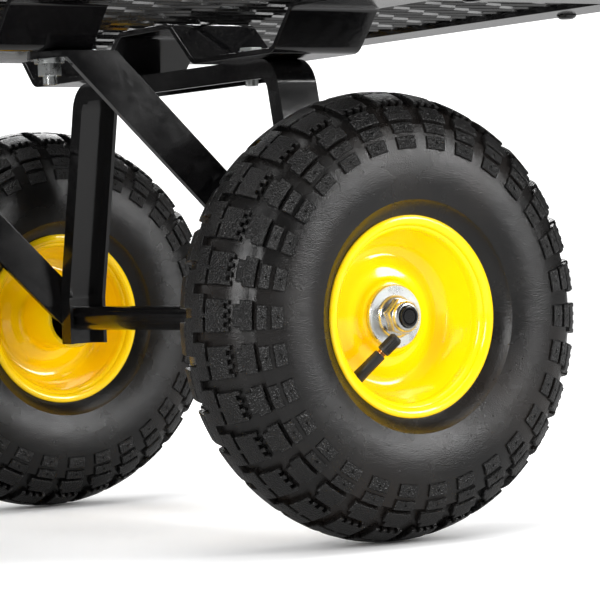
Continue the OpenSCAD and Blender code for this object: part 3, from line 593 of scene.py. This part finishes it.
rimShape = buildRim(rim)
for wheelName in wheels:
    copy = placed(rimShape.copy(), wheelPlace(wheelName))
    makePiece("rim_dished_" + wheelName, copy, "wheel_" + wheelName, [rimYellow],
              ["rim_" + wheelName], crease=50, recalc=False)
rimShape.free()
print("rims made")


# washers and nuts on the axle ends

hubNut = {
    "hubEnd": 9.8,        # from the wheel's middle to the washer
    "washer": 3.0,
    "washerRadius": 18.5,
    "flange": 12.5,
    "flats": 19.0,
    "height": 12.0,
    "collar": 9.0,
    "rod": 6.0,
    "rodEnd": 26.3,
    "pitch": 1.25,
}


def buildHubNut(sizes):
    start = sizes["hubEnd"]
    seat = start + sizes["washer"]
    top = seat + sizes["height"]
    r = sizes["washerRadius"]
    bm = bmesh.new()
    bore = sizes["rod"] + 0.1
    lathe(bm, [(bore, start), (r - 0.4, start), (r, start + 0.4), (r, seat - 0.6), (r - 0.6, seat), (bore, seat)], 72)
    f, c = sizes["flange"], sizes["collar"]
    lathe(bm, [(bore, seat), (f - 0.4, seat), (f, seat + 0.5), (f - 0.1, seat + 1.1), (f - 1.0, seat + 2.1),
               (f - 2.6, seat + 2.9), (bore, seat + 3.1)], 72)
    prism(bm, 6, sizes["flats"], seat + 1.5, seat + 8.8, 0, 0.6)
    lathe(bm, [(bore, seat + 8.0), (c - 0.1, seat + 8.0), (c, seat + 8.9), (c - 0.1, seat + 10.4),
               (c - 0.7, seat + 11.4), (c - 1.5, top - 0.1), (c - 2.2, top), (bore, top - 0.5)], 72)
    thread = [(0.0, start + 1), (sizes["rod"] - 0.8, start + 1)]
    at = top - 3 * sizes["pitch"]
    while at < sizes["rodEnd"] - 1.4:
        thread += [(sizes["rod"] - 0.8, at), (sizes["rod"], at + sizes["pitch"] / 2)]
        at += sizes["pitch"]
    thread += [(sizes["rod"] - 0.8, at), (sizes["rod"] - 1.4, sizes["rodEnd"]), (4.0, sizes["rodEnd"]),
               (3.7, sizes["rodEnd"] - 0.35), (0.0, sizes["rodEnd"] - 0.35)]
    lathe(bm, thread, 48, 1, closed=False)
    bmesh.ops.remove_doubles(bm, verts=bm.verts, dist=2e-6)
    bmesh.ops.recalc_face_normals(bm, faces=bm.faces)
    return bm


nutShape = buildHubNut(hubNut)
for nutName, nutWheels, nutNode in (("axle_nuts_rear", ("rear_left", "rear_right"), "rear_axle_nuts"),
                                    ("spindle_nut_left", ("front_left",), "spindle_nuts_left"),
                                    ("spindle_nut_right", ("front_right",), "spindle_nuts_right")):
    bm = bmesh.new()
    for wheelName in nutWheels:
        joinInto(bm, placed(nutShape.copy(), wheelPlace(wheelName, 17.0)))
    makePiece(nutName, bm, bodyOfNode[nutNode], [brightZinc, darkSteel], [nutNode], recalc=False)
nutShape.free()
print("hub nuts made")


# valves

valve = {
    "turn": 48.0,
    "seat": (49.0, 13.0),   # radius, and distance outboard of the wheel's middle
    "lean": 23.0,
    "length": 37.0,
    "capLength": 12.0,
    "capRadius": 4.2,
    "ribs": 18,
}


def buildValve(sizes):   # drawn along +Y from its seat
    end = sizes["length"]
    capStart = end - sizes["capLength"]
    bm = bmesh.new()
    lathe(bm, [(0, -3.0), (5.6, -3.0), (6.0, -2.4), (5.2, -1.0), (4.6, 0.5), (4.3, 3.0), (3.9, 5.0), (3.7, 10.0),
               (3.6, capStart - 2.5), (3.3, capStart - 1.8), (0, capStart - 1.8)], 32, 0, closed=False)
    lathe(bm, [(0, capStart - 2.4), (2.6, capStart - 2.4), (2.6, capStart - 1.3), (2.3, capStart - 1.0),
               (2.6, capStart - 0.7), (2.6, capStart + 1.0), (0, capStart + 1.0)], 28, 1, closed=False)
    r = sizes["capRadius"]
    cap = lathe(bm, [(0, capStart), (r - 0.9, capStart), (r - 0.4, capStart + 0.3), (r - 0.3, capStart + 1.6),
                     (r - 0.3, end - 2.2), (r - 0.6, end - 1.0), (r - 1.6, end), (0, end)], 2 * sizes["ribs"], 0,
                closed=False)
    grooved = [f for f in cap if capStart + 1.7 < f.calc_center_median().y / mm < end - 2.3]
    grooved.sort(key=lambda f: math.atan2(f.calc_center_median().z, f.calc_center_median().x))
    bmesh.ops.inset_individual(bm, faces=grooved[::2], thickness=0.16 * mm, depth=0.42 * mm)
    bmesh.ops.remove_doubles(bm, verts=bm.verts, dist=2e-6)
    bmesh.ops.recalc_face_normals(bm, faces=bm.faces)
    return bm


valveShape = buildValve(valve)
for wheelName in wheels:
    seatPlace = (Matrix.Rotation(math.radians(valve["turn"]), 4, "Y")
                 @ Matrix.Translation((valve["seat"][0] * mm, valve["seat"][1] * mm, 0))
                 @ Matrix.Rotation(math.radians(90 - valve["lean"]), 4, "Z"))
    copy = placed(valveShape.copy(), wheelPlace(wheelName) @ seatPlace)
    makePiece("valve_stem_" + wheelName, copy, "wheel_" + wheelName, [softBlack, brass],
              ["valve_" + wheelName], recalc=False)
valveShape.free()
print("valves made")


# expanded mesh sheets

expanded = {
    "long": 46.0,
    "short": 32.0,
    "strand": 1.5,       # half the width of a strand
    "tilt": 0.45,
    "thick": 0.9,
}


def expandedSheet(sizes, wide, tall):   # flat in X and Y round the origin, long way of the diamonds along X
    longWay, shortWay = sizes["long"] * mm, sizes["short"] * mm
    cells = int(wide / longWay + tall / shortWay) + 2
    cells += cells % 2
    bm = bmesh.new()
    bmesh.ops.create_grid(bm, x_segments=cells, y_segments=cells, size=1)
    bmesh.ops.rotate(bm, verts=bm.verts, cent=(0, 0, 0), matrix=Matrix.Rotation(math.pi / 4, 3, "Z"))
    side = math.sqrt(2) * 2 / cells
    bmesh.ops.scale(bm, verts=bm.verts, vec=(longWay / side, shortWay / side, 1))
    for normal, half in (((1, 0, 0), wide / 2), ((0, 1, 0), tall / 2)):
        for way in (1, -1):
            facing = Vector(normal) * way
            bmesh.ops.bisect_plane(bm, geom=bm.verts[:] + bm.edges[:] + bm.faces[:], plane_co=facing * half,
                                   plane_no=facing, clear_outer=True)
    bm.faces.ensure_lookup_table()
    holes = bm.faces[:]
    bmesh.ops.inset_individual(bm, faces=holes, thickness=sizes["strand"] * mm, use_even_offset=True)
    for f in holes:
        middle = f.calc_center_median()
        for v in f.verts:
            v.co.z -= sizes["tilt"] * (v.co.y - middle.y) * 4 * sizes["strand"] / sizes["short"]
    bmesh.ops.delete(bm, geom=holes, context="FACES_ONLY")
    bmesh.ops.remove_doubles(bm, verts=bm.verts, dist=1e-6)
    bmesh.ops.solidify(bm, geom=bm.faces[:], thickness=sizes["thick"] * mm)
    bmesh.ops.recalc_face_normals(bm, faces=bm.faces)
    return bm


def fitSheet(name, node, longAxis):
    low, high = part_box(node)
    size = high - low
    thin = min(range(3), key=lambda i: size[i])
    other = ({0, 1, 2} - {thin, longAxis}).pop()
    bm = expandedSheet(expanded, size[longAxis], size[other])
    heights = [v.co.z for v in bm.verts]
    spread = max(heights) - min(heights)
    bmesh.ops.translate(bm, verts=bm.verts, vec=(0, 0, -(max(heights) + min(heights)) / 2))
    axes = [Vector((1 if i == a else 0 for i in range(3))) for a in (longAxis, other, thin)]
    turned = Matrix((axes[0], axes[1], axes[2])).transposed().to_4x4()
    placed(bm, Matrix.Translation((low + high) / 2) @ turned)
    print(name, "faces", len(bm.faces), "spread", round(spread / mm, 2))
    return makePiece(name, bm, bodyOfNode[node], [meshBlack], [node], crease=25, recalc=False)


fitSheet("bed_expanded_mesh", "bed_mesh", 0)
fitSheet("side_expanded_mesh_left", "side_mesh_left", 0)
fitSheet("side_expanded_mesh_right", "side_mesh_right", 0)
fitSheet("tail_expanded_mesh", "tail_mesh", 1)
fitSheet("front_expanded_mesh", "front_mesh", 1)
print("mesh sheets made")


# frames, rails and braces: copies of the CAD shapes with their edges softened

def softCopy(name, node, material, edge, crease=30, segments=2):
    bm = bmesh.new()
    bm.from_mesh(frame["nodes"][node].data)
    bmesh.ops.remove_doubles(bm, verts=bm.verts, dist=1e-5)
    bmesh.ops.dissolve_limit(bm, angle_limit=math.radians(0.8), verts=bm.verts, edges=bm.edges)
    sharp = [e for e in bm.edges if len(e.link_faces) == 2 and e.calc_face_angle(0) > math.radians(crease)]
    if edge:
        bmesh.ops.bevel(bm, geom=sharp, offset=edge * mm, offset_type="OFFSET", segments=segments, profile=0.5,
                        affect="EDGES", clamp_overlap=True, material=-1)
    return makePiece(name, bm, bodyOfNode[node], [material], [node], crease=crease, recalc=False, flat=True)


softened = {
    "black_paint": (glossBlack, 0.6, [
        "bed_rail_left", "bed_rail_right", "bed_rail_front", "bed_rail_rear", "cross_member_rear",
        "cross_member_mid_rear", "cross_member_mid_front", "cross_member_front", "rear_axle_frame",
        "rear_brace_left", "rear_brace_right", "front_axle_frame", "front_brace_left", "front_brace_right",
        "knuckle_left", "knuckle_right", "tie_rod_left", "tie_rod_right", "tongue", "handle_tube",
        "side_frame_left", "side_frame_right", "tail_frame", "front_frame", "rear_axle", "bed_screws"]),
    "zinc": (brightZinc, 0.4, ["frame_bolts", "brace_bolts", "steering_pivots", "handle_pin", "latch_rear_left",
                               "latch_rear_right", "latch_front_left", "latch_front_right"]),
}
for slotName, (material, edge, nodes) in softened.items():
    for node in nodes:
        softCopy(node + "_soft", node, material, edge)
print("frames softened")


# handle grip and loop

grip = {
    "ribs": 22,
    "ribShare": 0.45,     # share of each pitch that stands up
    "deep": 0.7,
    "bulge": 0.6,
}


def buildGrip(sizes):   # a ribbed rubber sleeve along the CAD grip's own length
    low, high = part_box("handle_grip")
    long = (high.y - low.y) / mm
    outer = min(high.x - low.x, high.z - low.z) / mm / 2 - sizes["bulge"]
    inner = outer - 3.0
    pitch = long / (sizes["ribs"] + 2)
    profile = [(inner, -long / 2), (outer - 1.2, -long / 2), (outer, -long / 2 + 1.2), (outer, -long / 2 + pitch)]
    for i in range(sizes["ribs"]):
        at = -long / 2 + pitch * (i + 1)
        crown = sizes["bulge"] * math.sin(math.pi * (i + 0.5) / sizes["ribs"])
        edge = pitch * (1 - sizes["ribShare"]) / 2
        profile += [(outer - sizes["deep"], at + edge * 0.4), (outer - sizes["deep"], at + edge),
                    (outer + crown, at + edge * 1.4), (outer + crown, at + pitch - edge)]
    profile += [(outer, long / 2 - pitch), (outer, long / 2 - 1.2), (outer - 1.2, long / 2), (inner, long / 2)]
    bm = bmesh.new()
    lathe(bm, profile, 48)
    bmesh.ops.remove_doubles(bm, verts=bm.verts, dist=2e-6)
    bmesh.ops.recalc_face_normals(bm, faces=bm.faces)
    return placed(bm, Matrix.Translation((low + high) / 2))


makePiece("handle_grip_ribbed", buildGrip(grip), bodyOfNode["handle_grip"], [softBlack],
          ["handle_grip"], crease=40, recalc=False)
softCopy("handle_loop_soft", "handle_loop", glossBlack, 0.0, crease=45)
print("handle made")


# what is left of the CAD nodes gets its finish

def dress(node, material):
    data = frame["nodes"][node].data
    data.materials.clear()
    data.materials.append(material)


for node in frame["nodes"]:
    if frame["nodes"][node].hide_render:
        continue
    if node.startswith("bearings"):
        dress(node, darkSteel)
    else:
        print("still plain:", node)
        dress(node, glossBlack)


# floor, lights and surroundings

studio = {
    "floor": (0.93, 0.93, 0.93),
    "floorMirrored": (0.34, 0.34, 0.34),
    "world": {"camera": 1.5, "diffuse": 1.15, "glossy": 0.05},
    "lights": [
        # place, aimed at, width, height, watts
        ((2.4, 1.5, 1.2), (-0.2, 0.1, 0.15), 0.6, 1.3, 46),
        ((-2.0, 2.3, 1.1), (-0.3, 0.1, 0.15), 0.6, 1.2, 38),
        ((0.0, 0.3, 2.6), (0, 0, 0.2), 2.0, 1.2, 40),
        ((-1.6, -2.2, 1.4), (-0.2, 0, 0.2), 1.2, 1.0, 26),
        ((1.9, -1.6, 0.9), (0.0, 0, 0.2), 0.8, 1.2, 20),
    ],
}


def addFloor(colour, dim):   # dim is how dark gloss paint and rubber see the floor
    bm = bmesh.new()
    bmesh.ops.create_grid(bm, x_segments=1, y_segments=1, size=12)
    mesh = bpy.data.meshes.new("studioFloor")
    bm.to_mesh(mesh)
    bm.free()
    material = bpy.data.materials.new("studioWhite")
    material.use_nodes = True
    tree = material.node_tree
    shader = tree.nodes["Principled BSDF"]
    mirrored = addNode(tree, "ShaderNodeLightPath").outputs["Is Glossy Ray"]
    tree.links.new(mixColours(tree, mirrored, (*colour, 1), (*dim, 1)), shader.inputs["Base Color"])
    shader.inputs["Roughness"].default_value = 0.9
    shader.inputs["Specular IOR Level"].default_value = 0.0
    mesh.materials.append(material)
    floor = bpy.data.objects.new("studioFloor", mesh)
    floor.data.transform(Matrix.Translation((0, 0, cadBox[0].z - 0.0005)))
    bpy.context.scene.collection.objects.link(floor)


def addWorld(strength):
    world = bpy.data.worlds.new("studioWorld")
    bpy.context.scene.world = world
    world.use_nodes = True
    world.cycles.sampling_method = "NONE"   # so that glossy rays alone see the dimmer surroundings
    tree = world.node_tree
    back = tree.nodes["Background"]
    back.inputs["Color"].default_value = (1, 1, 1, 1)
    path = addNode(tree, "ShaderNodeLightPath")
    dim = mathNode(tree, "MULTIPLY", path.outputs["Is Glossy Ray"], strength["glossy"] - strength["diffuse"])
    seen = mathNode(tree, "MULTIPLY", path.outputs["Is Camera Ray"], strength["camera"] - strength["diffuse"])
    tree.links.new(mathNode(tree, "ADD", mathNode(tree, "ADD", dim, seen), strength["diffuse"]), back.inputs["Strength"])


def addLight(number, place, target, wide, tall, watts):
    data = bpy.data.lights.new("softbox" + str(number), "AREA")
    data.shape = "RECTANGLE"
    data.size, data.size_y, data.energy = wide, tall, watts
    light = bpy.data.objects.new(data.name, data)
    ahead = (Vector(target) - Vector(place)).normalized()
    light.matrix_world = Matrix.Translation(place) @ ahead.to_track_quat("-Z", "Y").to_matrix().to_4x4()
    bpy.context.scene.collection.objects.link(light)


addFloor(studio["floor"], studio["floorMirrored"])
addWorld(studio["world"])
for number, light in enumerate(studio["lights"]):
    addLight(number, *light)
print("studio lit")
